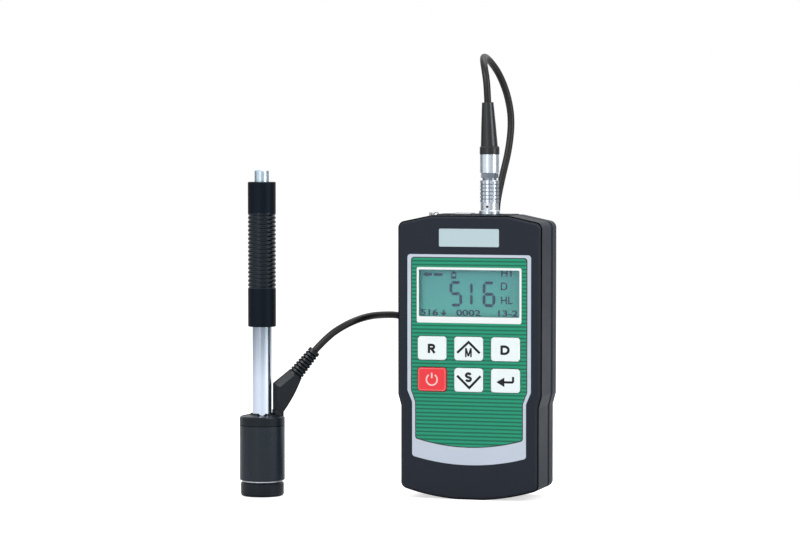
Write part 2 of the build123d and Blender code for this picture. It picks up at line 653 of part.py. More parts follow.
def make_strain_relief():
    # soft rings on a tapering core
    count, groove = 9, 0.7
    pitch = relief_length / count
    outside = [(0, 0), (relief_radius, 0)]
    for ring in range(count - 1):
        level = (ring + 1) * pitch
        crest = relief_radius + (relief_end_radius - relief_radius) * level / relief_length
        outside += [(crest, level - 0.45 * pitch), (crest - groove, level - 0.2 * pitch), (crest, level)]
    outside += [(relief_end_radius, relief_length), (0, relief_length)]
    return plug_plane(relief_foot[0], relief_foot[1], relief_slope) * turned(outside)


for name, piece in (("probe_plug", make_probe_plug()), ("strain_relief", make_strain_relief())):
    cable_pieces[name] = probe_place * Rot(0, 0, cable_direction) * piece

# Cable routes: the upper stretch loops over from the boot and comes down behind the unit, the lower one
# rises from the coil behind the unit and arches across to the impact device
boot_angle = math.radians(boot_tilt)


def above_boot(distance):
    # point on the boot's leaning axis, at a distance beyond the foot of the boot
    return (unit_x + plug_x - distance * math.sin(boot_angle), unit_y,
            plug_levels["rear_top"] + distance * math.cos(boot_angle))


upper_route = [above_boot(boot_length), above_boot(boot_length + 7.9),
               (38.1, 11.9, 192.4), (35.6, 18.2, 197.2), (34.0, 26.8, 198.4), (34.6, 35.4, 196.2),
               (37.0, 42.3, 190.4), (39.8, 46.0, 181.2), (41.8, 46.2, 170.0), (41.2, 43.6, 156.4),
               (38.6, 40.2, 142.8), (36.6, 37.0, 128.8), (38.2, 34.8, 114.6), (44.6, 34.0, 101.4),
               (53.0, 33.4, 88.4), (58.6, 33.0, 73.0), (60.2, 33.0, 56.0), (60.4, 33.6, 39.0),
               (59.2, 35.6, 24.0), (56.4, 39.8, 12.0), (52.0, 46.2, 4.2), (46.9, 54.0, 2.0)]
lower_route = [(-35.98, -7.25, 65.6), (-30.6, -4.8, 72.0), (-24.2, -0.8, 76.7), (-19.0, 5.4, 79.5),
               (-15.2, 13.2, 80.6), (-12.0, 21.4, 80.6), (-7.6, 29.2, 80.2), (-0.2, 34.6, 77.6),
               (6.4, 37.0, 70.8), (9.8, 36.8, 60.6), (10.6, 35.6, 48.6), (9.6, 34.2, 36.8),
               (7.8, 33.2, 26.4), (6.4, 34.0, 18.6), (5.3, 38.6, 9.6)]


def corner_radii(points):
    # each arc takes 0.45 of its shorter run
    radii = []
    for before, here, after in zip(points, points[1:], points[2:]):
        first, second = Vector(here) - Vector(before), Vector(after) - Vector(here)
        half_turn = math.radians(first.get_angle(second)) / 2
        radii.append(0.45 * min(first.length, second.length) / math.tan(half_turn))
    return radii


def make_cable(name, points):
    radii = corner_radii(points)
    path = FilletPolyline(*points, radius=radii)
    section = Plane(origin=path @ 0, z_dir=path % 0) * Circle(cable_diameter / 2)
    cable = sweep(section, path=path)
    expected = math.pi * (cable_diameter / 2) ** 2 * path.length
    print(name, "length", round(path.length, 1), "volume ratio", round(cable.volume / expected, 4),
          "radii", [round(radius, 1) for radius in radii])
    return cable


def make_coil():
    inner, outer = coil_mean_radius - coil_width / 2, coil_mean_radius + coil_width / 2
    low, top, ease = coil_low, coil_low + coil_height, 2.2
    return turned([(inner + ease, low), (outer - ease, low), (outer, low + ease), (outer, top - ease),
                   (outer - ease, top), (inner + ease, top), (inner, top - ease), (inner, low + ease)])


coil = make_coil()
tie_thickness, tie_half_width = 0.5, 2.5
tie_outside = block(coil_mean_radius - coil_width / 2 - tie_thickness,
                    coil_mean_radius + coil_width / 2 + tie_thickness, -tie_half_width, tie_half_width,
                    coil_low - tie_thickness, coil_low + coil_height + tie_thickness)
coil_place = Pos(coil_x, coil_y, 0)
cable_pieces["cable_coil"] = coil_place * coil
cable_pieces["cable_tie"] = coil_place * Rot(0, 0, 60) * (tie_outside - coil)
cable_pieces["cable_upper"] = make_cable("cable_upper", upper_route)
cable_pieces["cable_lower"] = make_cable("cable_lower", lower_route)

for place, pieces in ((unit_place, unit_pieces), (probe_place, probe_pieces), (Pos(0, 0, 0), cable_pieces)):
    for name, piece in pieces.items():
        write(name, place, piece)
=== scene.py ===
import math
import bpy
import bmesh
from mathutils import Matrix, Vector


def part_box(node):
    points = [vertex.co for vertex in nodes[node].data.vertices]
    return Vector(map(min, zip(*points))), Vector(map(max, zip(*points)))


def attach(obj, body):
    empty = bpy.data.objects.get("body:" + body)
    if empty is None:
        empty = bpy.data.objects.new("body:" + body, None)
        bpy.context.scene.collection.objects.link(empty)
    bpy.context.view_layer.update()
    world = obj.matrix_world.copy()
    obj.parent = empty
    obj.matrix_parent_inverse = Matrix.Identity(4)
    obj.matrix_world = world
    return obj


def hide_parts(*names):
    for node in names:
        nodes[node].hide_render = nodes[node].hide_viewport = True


mm = 0.001  # lengths are in mm, apart from those of the studio and the whole cable, which are in metres
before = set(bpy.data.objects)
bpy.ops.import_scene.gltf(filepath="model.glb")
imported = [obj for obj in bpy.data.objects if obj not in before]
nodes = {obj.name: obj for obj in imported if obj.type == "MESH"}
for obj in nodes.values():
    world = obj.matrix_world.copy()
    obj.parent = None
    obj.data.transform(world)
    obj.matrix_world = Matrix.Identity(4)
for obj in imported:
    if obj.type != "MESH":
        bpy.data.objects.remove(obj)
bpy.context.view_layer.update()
print("frame loaded:", len(nodes), "nodes")

# Where things are, read from the frame: the unit's middle line and front face, the plug's axis
caseLow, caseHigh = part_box("front_case")  # its back edge is the seam of the case
plugLow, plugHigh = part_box("connector_sleeve")
unitX = (caseLow.x + caseHigh.x) / 2
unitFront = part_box("keypad_overlay")[0].y
plugX, plugY = (plugLow.x + plugHigh.x) / 2, (plugLow.y + plugHigh.y) / 2


# Camera, light and floor
camera = {
    "place": (0.4093, -1.372, 0.1653), "turn": 16.536, "down": 2.707, "lens": 143.37, "sensor": 36.0,
    "near": 0.05, "far": 20.0,
}
studio = {
    "skyForLight": 0.42,
    "shades": [  # way from the object, reach and core in degrees, how dim the core is in reflections
        ((0.906, -0.423, 0.0), 70, 10, 0.68),
        ((0.906, 0.423, 0.0), 48, 8, 0.48),
        ((0.682, -0.731, 0.0), 14, 4, 0.6),
        ((0.616, 0.788, 0.0), 13, 6, 0.06),
        ((-0.966, 0.259, 0.0), 38, 12, 0.15),
    ],
    "lamps": [  # name, place, aims at, width, height, power
        ("keyLamp", (-0.75, -0.95, 0.95), (0.0, 0.0, 0.08), 0.7, 0.7, 8.3),
        ("sideLamp", (1.0, -0.25, 0.55), (0.03, 0.0, 0.08), 0.5, 0.9, 7.0),
        ("topLamp", (0.1, 0.35, 1.1), (0.0, 0.0, 0.1), 0.9, 0.6, 4.8),
        ("frontStrip", (-0.24, -1.35, 0.12), (-0.05, 0.0, 0.07), 0.3, 0.6, 0.95),
        ("ribLamp", (-0.22, -1.15, 0.9), (-0.06, 0.0, 0.1), 0.25, 0.35, 5.0),
    ],
    "onlyShine": ("frontStrip", "ribLamp"),  # seen in reflections, no light on matt surfaces
    "floorSize": 6.0, "floorColour": (0.9, 0.9, 0.9), "floorRoughness": 0.9, "floorGlow": 0.62,
}


def addCamera():
    data = bpy.data.cameras.new("camera")
    data.lens, data.sensor_width = camera["lens"], camera["sensor"]
    data.clip_start, data.clip_end = camera["near"], camera["far"]
    eye = bpy.data.objects.new("camera", data)
    eye.location = camera["place"]
    eye.rotation_euler = (math.radians(90 - camera["down"]), 0, math.radians(camera["turn"]))
    bpy.context.scene.collection.objects.link(eye)
    bpy.context.scene.camera = eye


def addLamps():
    for name, spot, aim, width, height, energy in studio["lamps"]:
        data = bpy.data.lights.new(name, "AREA")
        data.shape, data.size, data.size_y, data.energy = "RECTANGLE", width, height, energy
        lamp = bpy.data.objects.new(name, data)
        lamp.visible_diffuse = name not in studio["onlyShine"]
        lamp.location = spot
        lamp.rotation_euler = (Vector(aim) - Vector(spot)).to_track_quat("-Z", "Y").to_euler()
        bpy.context.scene.collection.objects.link(lamp)


def addSky():
    # white for the camera; in reflections the room is dimmer towards each of the shades
    world = bpy.data.worlds.new("studio")
    bpy.context.scene.world = world
    world.use_nodes = True
    tree = world.node_tree
    tree.nodes.clear()
    out, mix = tree.nodes.new("ShaderNodeOutputWorld"), tree.nodes.new("ShaderNodeMixShader")
    lit, seen = tree.nodes.new("ShaderNodeBackground"), tree.nodes.new("ShaderNodeBackground")
    way, ray = tree.nodes.new("ShaderNodeTexCoord"), tree.nodes.new("ShaderNodeLightPath").outputs
    lit.inputs["Strength"].default_value = studio["skyForLight"]
    lit.inputs["Color"].default_value = seen.inputs["Color"].default_value = (1, 1, 1, 1)
    bright = 1.0
    for direction, reach, core, level in studio["shades"]:
        aim = tree.nodes.new("ShaderNodeVectorMath")
        aim.operation = "DOT_PRODUCT"
        aim.inputs[1].default_value = Vector(direction).normalized()
        tree.links.new(way.outputs["Generated"], aim.inputs[0])
        edge, middle = math.cos(math.radians(reach)), math.cos(math.radians(core))
        dim = toRange(tree, aim.outputs["Value"], 1.0, level, edge, middle, "SMOOTHSTEP")
        bright = calc(tree, "MULTIPLY", dim, bright)
    tree.links.new(calc(tree, "MAXIMUM", bright, ray["Is Camera Ray"]), seen.inputs["Strength"])
    straight = calc(tree, "MAXIMUM", ray["Is Camera Ray"], ray["Is Glossy Ray"])
    tree.links.new(calc(tree, "MAXIMUM", straight, ray["Is Transmission Ray"]), mix.inputs["Fac"])
    tree.links.new(lit.outputs[0], mix.inputs[1])
    tree.links.new(seen.outputs[0], mix.inputs[2])
    tree.links.new(mix.outputs[0], out.inputs["Surface"])


def addFloor():
    # its glow is for the camera alone: it looks white and keeps the shadow, and doesn't light the object
    bm = bmesh.new()
    bmesh.ops.create_grid(bm, x_segments=1, y_segments=1, size=studio["floorSize"])
    floor = linked("floor", bm)
    mat = newMaterial("paleFloor", studio["floorColour"], studio["floorRoughness"])
    tree = mat.node_tree
    tree.nodes["Principled BSDF"].inputs["Emission Color"].default_value = (1, 1, 1, 1)
    ray = tree.nodes.new("ShaderNodeLightPath").outputs
    feed(tree, "Emission Strength", calc(tree, "MULTIPLY", ray["Is Camera Ray"], studio["floorGlow"]))
    floor.data.materials.append(mat)


# Mesh helpers; shapes on the unit are drawn in mm from its middle line, as seen from the front
def linked(name, bm):
    mesh = bpy.data.meshes.new(name)
    bm.to_mesh(mesh)
    bm.free()
    piece = bpy.data.objects.new(name, mesh)
    bpy.context.scene.collection.objects.link(piece)
    return piece


def toUnit(bm):
    bmesh.ops.scale(bm, vec=(mm, mm, mm), verts=bm.verts[:])
    bmesh.ops.translate(bm, vec=(unitX, unitFront, 0), verts=bm.verts[:])


def plate(outline, front, back):
    # closed plate from an outline in (x, z), its front and back given as depths behind the unit's face
    bm = bmesh.new()
    face = bm.faces.new([bm.verts.new((x, front, z)) for x, z in outline])
    made = bmesh.ops.extrude_face_region(bm, geom=[face])
    moved = [v for v in made["geom"] if isinstance(v, bmesh.types.BMVert)]
    bmesh.ops.translate(bm, verts=moved, vec=(0, back - front, 0))
    bmesh.ops.recalc_face_normals(bm, faces=bm.faces[:])
    toUnit(bm)
    return bm


def hollowPlate(outer, inner, front, back):
    # flat frame between two outlines of as many points
    bm = bmesh.new()
    loops = []
    for outline, depth in ((outer, front), (inner, front), (inner, back), (outer, back)):
        verts = [bm.verts.new((x, depth, z)) for x, z in outline]
        loops.append([bm.edges.new((verts[i - 1], verts[i])) for i in range(len(verts))])
    for first, second in zip(loops, loops[1:] + loops[:1]):
        bmesh.ops.bridge_loops(bm, edges=first + second)
    bmesh.ops.recalc_face_normals(bm, faces=bm.faces[:])
    toUnit(bm)
    return bm


def merged(name, parts):
    # several closed shapes as one piece
    whole = bmesh.new()
    for part in parts:
        mesh = bpy.data.meshes.new("part")
        part.to_mesh(mesh)
        part.free()
        whole.from_mesh(mesh)
        bpy.data.meshes.remove(mesh)
    return linked(name, whole)


def carved(piece, cutters):
    # cuts the cutters out of the piece and keeps the result as its mesh
    for cutter in cutters:
        cut = piece.modifiers.new("cut", "BOOLEAN")
        cut.object, cut.operation, cut.solver = cutter, "DIFFERENCE", "EXACT"
    mesh = bpy.data.meshes.new_from_object(piece.evaluated_get(bpy.context.evaluated_depsgraph_get()))
    piece.modifiers.clear()
    piece.data = mesh
    mesh.name = piece.name
    for cutter in cutters:
        bpy.data.objects.remove(cutter)
    return piece


def box(x, z, width, height):
    return [(x - width / 2, z - height / 2), (x + width / 2, z - height / 2),
            (x + width / 2, z + height / 2), (x - width / 2, z + height / 2)]


def rounded(corners, steps=5):
    # outline whose corners (x, z, radius) become arcs
    points = []
    for i, (x, z, radius) in enumerate(corners):
        here = Vector((x, z))
        back = (Vector(corners[i - 1][:2]) - here).normalized()
        ahead = (Vector(corners[(i + 1) % len(corners)][:2]) - here).normalized()
        if radius == 0:
            points.append(tuple(here))
            continue
        half = math.acos(max(-1.0, min(1.0, back.dot(ahead)))) / 2
        middle = here + (back + ahead).normalized() * radius / math.sin(half)
        first, last = here + back * radius / math.tan(half), here + ahead * radius / math.tan(half)
        start = math.atan2(first.y - middle.y, first.x - middle.x)
        turn = math.atan2(last.y - middle.y, last.x - middle.x) - start
        turn = (turn + math.pi) % (2 * math.pi) - math.pi
        for step in range(steps + 1):
            angle = start + turn * step / steps
            points.append((middle.x + radius * math.cos(angle), middle.y + radius * math.sin(angle)))
    return points


def softBox(x, z, width, height, radius):
    return rounded([(px, pz, radius) for px, pz in box(x, z, width, height)])


def arc(x, z, wide, tall, start, stop, steps=8):
    angles = [math.radians(start + (stop - start) * i / steps) for i in range(steps + 1)]
    return [(x + wide * math.cos(a), z + tall * math.sin(a)) for a in angles]


def stroke(points, width, sharpest=0.3):
    # a thick open line with square ends as one outline; sharpest keeps a tight corner from running out
    sides = ([], [])
    for i, point in enumerate(points):
        here = Vector(point)
        before = (here - Vector(points[i - 1])).normalized() if i else None
        after = (Vector(points[i + 1]) - here).normalized() if i + 1 < len(points) else None
        before, after = before or after, after or before
        along = (before + after).normalized()
        across = Vector((-along.y, along.x)) * (width / 2 / max(sharpest, along.dot(after)))
        sides[0].append(tuple(here + across))
        sides[1].append(tuple(here - across))
    return sides[0] + sides[1][::-1]


# Shader nodes and groups
def calc(tree, operation, first, second=None, third=None):
    node = tree.nodes.new("ShaderNodeMath")
    node.operation = operation
    for i, value in enumerate((first, second, third)):
        if value is None:
            continue
        if isinstance(value, (int, float)):
            node.inputs[i].default_value = value
        else:
            tree.links.new(value, node.inputs[i])
    return node.outputs[0]


def toRange(tree, value, low, high, fromLow=0.0, fromHigh=1.0, fade="LINEAR"):
    node = tree.nodes.new("ShaderNodeMapRange")
    node.interpolation_type = fade
    for label, number in (("From Min", fromLow), ("From Max", fromHigh), ("To Min", low), ("To Max", high)):
        node.inputs[label].default_value = number
    tree.links.new(value, node.inputs["Value"])
    return node.outputs[0]


def between(tree, value, low, high):
    # one inside the range, zero outside it
    above, below = calc(tree, "GREATER_THAN", value, low), calc(tree, "LESS_THAN", value, high)
    return calc(tree, "MULTIPLY", above, below)


def pointOn(tree):
    # the three coordinates of a point on the piece
    where, split = tree.nodes.new("ShaderNodeTexCoord"), tree.nodes.new("ShaderNodeSeparateXYZ")
    tree.links.new(where.outputs["Object"], split.inputs[0])
    return split.outputs


def noise(tree, vector, scale, detail, rough=0.5):
    node = tree.nodes.new("ShaderNodeTexNoise")
    tree.links.new(vector, node.inputs["Vector"])
    tree.links.new(scale, node.inputs["Scale"])
    node.inputs["Detail"].default_value, node.inputs["Roughness"].default_value = detail, rough
    return node.outputs["Fac"]


def newGroup(name, inputs, outputs):
    tree = bpy.data.node_groups.new(name, "ShaderNodeTree")
    for label, value in inputs:
        socket = tree.interface.new_socket(name=label, in_out="INPUT", socket_type="NodeSocketFloat")
        socket.default_value = value
    for label in outputs:
        tree.interface.new_socket(name=label, in_out="OUTPUT", socket_type="NodeSocketFloat")
    return tree, tree.nodes.new("NodeGroupInput"), tree.nodes.new("NodeGroupOutput")


def makeSkinGroup():
    # spark-eroded mould texture with soft patches where hands have polished it
    sizes = [("Grain Scale", 1500.0), ("Patch Scale", 22.0)]
    tree, inside, outside = newGroup("mouldedSkin", sizes, ["Grain", "Patches"])
    where = tree.nodes.new("ShaderNodeTexCoord").outputs["Object"]
    grain = noise(tree, where, inside.outputs["Grain Scale"], detail=3.0, rough=0.6)
    patches = noise(tree, where, inside.outputs["Patch Scale"], detail=2.0)
    tree.links.new(grain, outside.inputs["Grain"])
    tree.links.new(patches, outside.inputs["Patches"])
    return tree


def makeTurningGroup():
    # fine rings left by a lathe, along the axis, with a little unevenness around it
    sizes = [("Ring Scale", 2600.0), ("Smudge Scale", 60.0)]
    tree, inside, outside = newGroup("latheRings", sizes, ["Rings", "Smudges"])
    where = tree.nodes.new("ShaderNodeTexCoord").outputs["Object"]
    squeeze = tree.nodes.new("ShaderNodeMapping")
    squeeze.inputs["Scale"].default_value = (0.0, 0.0, 1.0)
    tree.links.new(where, squeeze.inputs["Vector"])
    rings = noise(tree, squeeze.outputs[0], inside.outputs["Ring Scale"], detail=1.0)
    smudges = noise(tree, where, inside.outputs["Smudge Scale"], detail=2.0)
    tree.links.new(rings, outside.inputs["Rings"])
    tree.links.new(smudges, outside.inputs["Smudges"])
    return tree


skinGroup, turningGroup = makeSkinGroup(), makeTurningGroup()
print("studio groups made")


# Materials
def newMaterial(name, colour, roughness, metallic=0.0, specular=0.5):
    mat = bpy.data.materials.new(name)
    mat.use_nodes = True
    shader = mat.node_tree.nodes["Principled BSDF"]
    shader.inputs["Base Color"].default_value = (*colour, 1)
    shader.inputs["Roughness"].default_value = roughness
    shader.inputs["Metallic"].default_value = metallic
    shader.inputs["Specular IOR Level"].default_value = specular
    mat.diffuse_color = (*colour, 1)
    return mat


def feed(tree, socket, value):
    tree.links.new(value, tree.nodes["Principled BSDF"].inputs[socket])


def colourBy(tree, share, first, second):
    # from the first colour to the second as the share grows; a mix of colours has them in sockets 6 and 7
    mix = tree.nodes.new("ShaderNodeMix")
    mix.data_type = "RGBA"
    mix.inputs[6].default_value, mix.inputs[7].default_value = (*first, 1), (*second, 1)
    tree.links.new(share, mix.inputs[0])
    feed(tree, "Base Color", mix.outputs[2])


def recolour(tree, share, colour):
    # lays a colour over the one that the material has
    mix = tree.nodes.new("ShaderNodeMix")
    mix.data_type = "RGBA"
    mix.inputs[7].default_value = (*colour, 1)
    tree.links.new(share, mix.inputs[0])
    tree.links.new(tree.nodes["Principled BSDF"].inputs["Base Color"].links[0].from_socket, mix.inputs[6])
    feed(tree, "Base Color", mix.outputs[2])


def bumped(tree, height, depth):
    # depth in mm; a second relief lies under the first
    bump, socket = tree.nodes.new("ShaderNodeBump"), tree.nodes["Principled BSDF"].inputs["Normal"]
    bump.inputs["Distance"].default_value = depth * mm
    tree.links.new(height, bump.inputs["Height"])
    if socket.links:
        socket = socket.links[0].from_node.inputs["Normal"]
    tree.links.new(bump.outputs[0], socket)


def useGroup(tree, group, **values):
    node = tree.nodes.new("ShaderNodeGroup")
    node.node_tree = group
    for label, value in values.items():
        node.inputs[label].default_value = value
    return node.outputs


wear = {"low": 0.3, "high": 0.7, "onPlastic": 0.12, "onMetal": 0.08}  # range of the noise, spread of gloss


def worn(tree, patches, colour, tint, roughness, spread):
    # colour and gloss drift with the patches
    colourBy(tree, patches, colour, tint)
    glossy, dull = roughness - spread / 2, roughness + spread / 2
    feed(tree, "Roughness", toRange(tree, patches, glossy, dull, wear["low"], wear["high"]))


def moulded(name, colour, tint, roughness, grainScale=1500.0, grainDepth=0.02, **more):
    mat = newMaterial(name, colour, roughness, **more)
    skin = useGroup(mat.node_tree, skinGroup, **{"Grain Scale": grainScale})
    worn(mat.node_tree, skin["Patches"], colour, tint, roughness, wear["onPlastic"])
    bumped(mat.node_tree, skin["Grain"], grainDepth)
    return mat


def turnedMetal(name, colour, tint, roughness, metallic=1.0, ringDepth=0.0004, **more):
    mat = newMaterial(name, colour, roughness, metallic, **more)
    rings = useGroup(mat.node_tree, turningGroup)
    worn(mat.node_tree, rings["Smudges"], colour, tint, roughness, wear["onMetal"])
    bumped(mat.node_tree, rings["Rings"], ringDepth)
    return mat


# The case: painted shade, a dark band on the narrow ledge behind the raised front, and a wide shallow step
# where the shells meet
caseBlack = {
    "colour": (0.006, 0.010, 0.019), "tint": (0.007, 0.012, 0.022), "roughness": 0.5, "specular": 0.22,
}
paintedLedgeShade = {"behind": 1.2, "half": 0.22, "colour": (0.002, 0.002, 0.003)}
caseSeam = {"ahead": 0.2, "half": 1.8, "step": 2.6}


def caseSkin():
    mat = moulded("caseBlack", **caseBlack)
    tree = mat.node_tree
    depth = pointOn(tree)["Y"]
    ledge, half = caseLow.y + paintedLedgeShade["behind"] * mm, paintedLedgeShade["half"] * mm
    # painted shade: the band on the ledge is made dark and metallic
    paintedShade = between(tree, depth, ledge - half, ledge + half)
    feed(tree, "Metallic", paintedShade)
    recolour(tree, paintedShade, paintedLedgeShade["colour"])
    seam, half = caseHigh.y - caseSeam["ahead"] * mm, caseSeam["half"] * mm
    bumped(tree, toRange(tree, depth, 0.0, 1.0, seam - half, seam + half), caseSeam["step"])
    return mat


# The ribbed sleeve: the turned ribs catch light, the plain ends stay dark
sleeve = {
    "plain": (0.009, 0.013, 0.019), "ribs": (0.026, 0.032, 0.040), "plainRough": 0.48, "ribRough": 0.22,
    "low": 93.8, "high": 127.8,
}


def anodisedSleeve():
    mat = newMaterial("anodisedBlack", sleeve["plain"], sleeve["ribRough"], metallic=1.0)
    tree = mat.node_tree
    ribbed = between(tree, pointOn(tree)["Z"], sleeve["low"] * mm, sleeve["high"] * mm)
    colourBy(tree, ribbed, sleeve["plain"], sleeve["ribs"])
    feed(tree, "Roughness", toRange(tree, ribbed, sleeve["plainRough"], sleeve["ribRough"]))
    return mat


# The coil housing: black anodised, with the thread relief above the ring left bright
housing = {
    "colour": (0.012, 0.019, 0.027), "tint": (0.015, 0.023, 0.033), "roughness": 0.26, "metallic": 0.0,
    "specular": 0.28,
}
relief = {"low": 6.62, "high": 7.15, "colour": (0.55, 0.56, 0.6), "metallic": (0.2, 1.0)}


def housingBlack():
    mat = turnedMetal("housingBlack", **housing)
    tree = mat.node_tree
    neck = between(tree, pointOn(tree)["Z"], relief["low"] * mm, relief["high"] * mm)
    recolour(tree, neck, relief["colour"])
    feed(tree, "Metallic", toRange(tree, neck, *relief["metallic"]))
    return mat


# The bright tube: painted reflection, pale at its foot and darker towards the sleeve
tube = {
    "foot": (0.66, 0.74, 0.88), "top": (0.23, 0.29, 0.34), "low": 53, "high": 84,
    "plain": (0.7, 0.74, 0.8), "roughness": 0.1,
}


def brightTube():
    mat = newMaterial("brightTube", tube["plain"], tube["roughness"], metallic=1.0)
    tree = mat.node_tree
    # painted reflection: the colour runs from pale at the foot to dark towards the sleeve
    share = toRange(tree, pointOn(tree)["Z"], 0.0, 1.0, tube["low"] * mm, tube["high"] * mm)
    colourBy(tree, share, tube["foot"], tube["top"])
    return mat


# The plug: bluish bright metal, with painted shade between the studs and on the eight-sided neck
plug = {
    "bright": (0.72, 0.80, 0.90), "dark": (0.27, 0.31, 0.37), "roughness": 0.24, "studFoot": 4.15,
    "neckLow": 142.5, "neckHigh": 145.6, "neckEdge": 0.05, "fade": 0.1,
}


def fromAxis(tree):
    # distance of each point from the plug's axis
    where, flat = tree.nodes.new("ShaderNodeTexCoord"), tree.nodes.new("ShaderNodeVectorMath")
    flat.operation = "MULTIPLY_ADD"
    flat.inputs[1].default_value, flat.inputs[2].default_value = (1, 1, 0), (-plugX, -plugY, 0)
    tree.links.new(where.outputs["Object"], flat.inputs[0])
    length = tree.nodes.new("ShaderNodeVectorMath")
    length.operation = "LENGTH"
    tree.links.new(flat.outputs[0], length.inputs[0])
    return length.outputs["Value"]


def fromNeck(tree):
    # how far above or below the neck a point lies
    height = pointOn(tree)["Z"]
    above = calc(tree, "SUBTRACT", height, plug["neckHigh"] * mm)
    below = calc(tree, "SUBTRACT", plug["neckLow"] * mm, height)
    return calc(tree, "MAXIMUM", above, below)


def plugNickel(name, shadeBelow, distance):
    # painted shade where the distance is below a limit, in mm
    mat = newMaterial(name, plug["bright"], plug["roughness"], metallic=1.0)
    tree = mat.node_tree
    share = toRange(tree, distance(tree), 1.0, 0.0, (shadeBelow - plug["fade"]) * mm, shadeBelow * mm)
    colourBy(tree, share, plug["bright"], plug["dark"])
    return mat


# The printed green film with fine darker lines across it
greenFilm = {
    "plain": (0.006, 0.26, 0.145), "field": (0.006, 0.295, 0.165), "line": (0.001, 0.13, 0.07),
    "pitch": 1.7, "contrast": -1.1, "level": 0.25, "roughness": 0.38, "specular": 0.3,
    "grainScale": 900.0, "grainDepth": 0.006,
}


def filmGreen():
    mat = newMaterial("greenPrint", greenFilm["plain"], greenFilm["roughness"],
                      specular=greenFilm["specular"])
    tree = mat.node_tree
    turns = calc(tree, "MULTIPLY", pointOn(tree)["Z"], 2 * math.pi / (greenFilm["pitch"] * mm))
    wave = calc(tree, "MULTIPLY_ADD", calc(tree, "SINE", turns), greenFilm["contrast"], greenFilm["level"])
    line = calc(tree, "MINIMUM", calc(tree, "MAXIMUM", wave, 0.0), 1.0)
    colourBy(tree, line, greenFilm["field"], greenFilm["line"])
    skin = useGroup(tree, skinGroup, **{"Grain Scale": greenFilm["grainScale"]})
    bumped(tree, skin["Grain"], greenFilm["grainDepth"])
    return mat


# The display: painted shade, a little darker towards its top, with dark segments just in front of it
screen = {
    "low": 81.8, "high": 102.8, "half": 23.2, "behind": 2.1, "corner": 0.5, "walls": (0.3, 0.02),
    "wallFront": 0.05, "inkFront": 0.05, "inkBack": 0.01, "roughness": 0.35, "plain": (0.14, 0.38, 0.34),
    "foot": (0.085, 0.42, 0.38), "top": (0.07, 0.34, 0.355), "ink": (0.02, 0.05, 0.11),
}
pane = {"colour": (0.2, 0.25, 0.25), "roughness": 0.04, "alpha": 0.06, "flat": (0.6, 0.7, 0.7)}


def screenTeal():
    mat = newMaterial("screenTeal", screen["plain"], screen["roughness"])
    tree = mat.node_tree
    # painted shade: the screen darkens towards its top
    share = toRange(tree, pointOn(tree)["Z"], 0.0, 1.0, screen["low"] * mm, screen["high"] * mm)
    colourBy(tree, share, screen["foot"], screen["top"])
    return mat


def clearPane():
    mat = newMaterial("clearPane", pane["colour"], pane["roughness"])
    mat.node_tree.nodes["Principled BSDF"].inputs["Alpha"].default_value = pane["alpha"]
    mat.diffuse_color = (*pane["flat"], pane["alpha"])
    return mat


